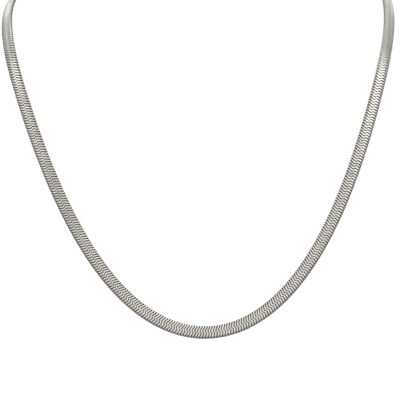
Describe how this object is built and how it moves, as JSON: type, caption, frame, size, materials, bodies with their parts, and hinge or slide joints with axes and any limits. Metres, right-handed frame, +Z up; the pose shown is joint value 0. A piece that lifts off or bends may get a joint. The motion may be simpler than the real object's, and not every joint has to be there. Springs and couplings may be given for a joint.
{
  "type": "herringbone chain",
  "caption": "Flat flexible herringbone neck chain, a closed loop in the form it takes round a neck, with end caps, rings and a claw clasp at the nape.",
  "frame": {"origin": "the nape, halfway between the eyes of the two end caps, on the middle line of the closed chain", "axes": "+X to the right of a viewer who faces the wearer, +Y to the wearer's back, +Z up"},
  "size_m": [0.1376, 0.112, 0.1141],
  "materials": {
    "woven_metal": "satin silver-coloured links, close set, with dark gaps between them",
    "bright_metal": "polished silver-coloured metal"
  },
  "bodies": {
    "root": {"herringbone_band": "woven_metal", "end_cap_left": "bright_metal", "end_cap_right": "bright_metal", "tail_ring": "bright_metal", "catch_ring": "bright_metal", "clasp": "bright_metal"}
  },
  "joints": []
}
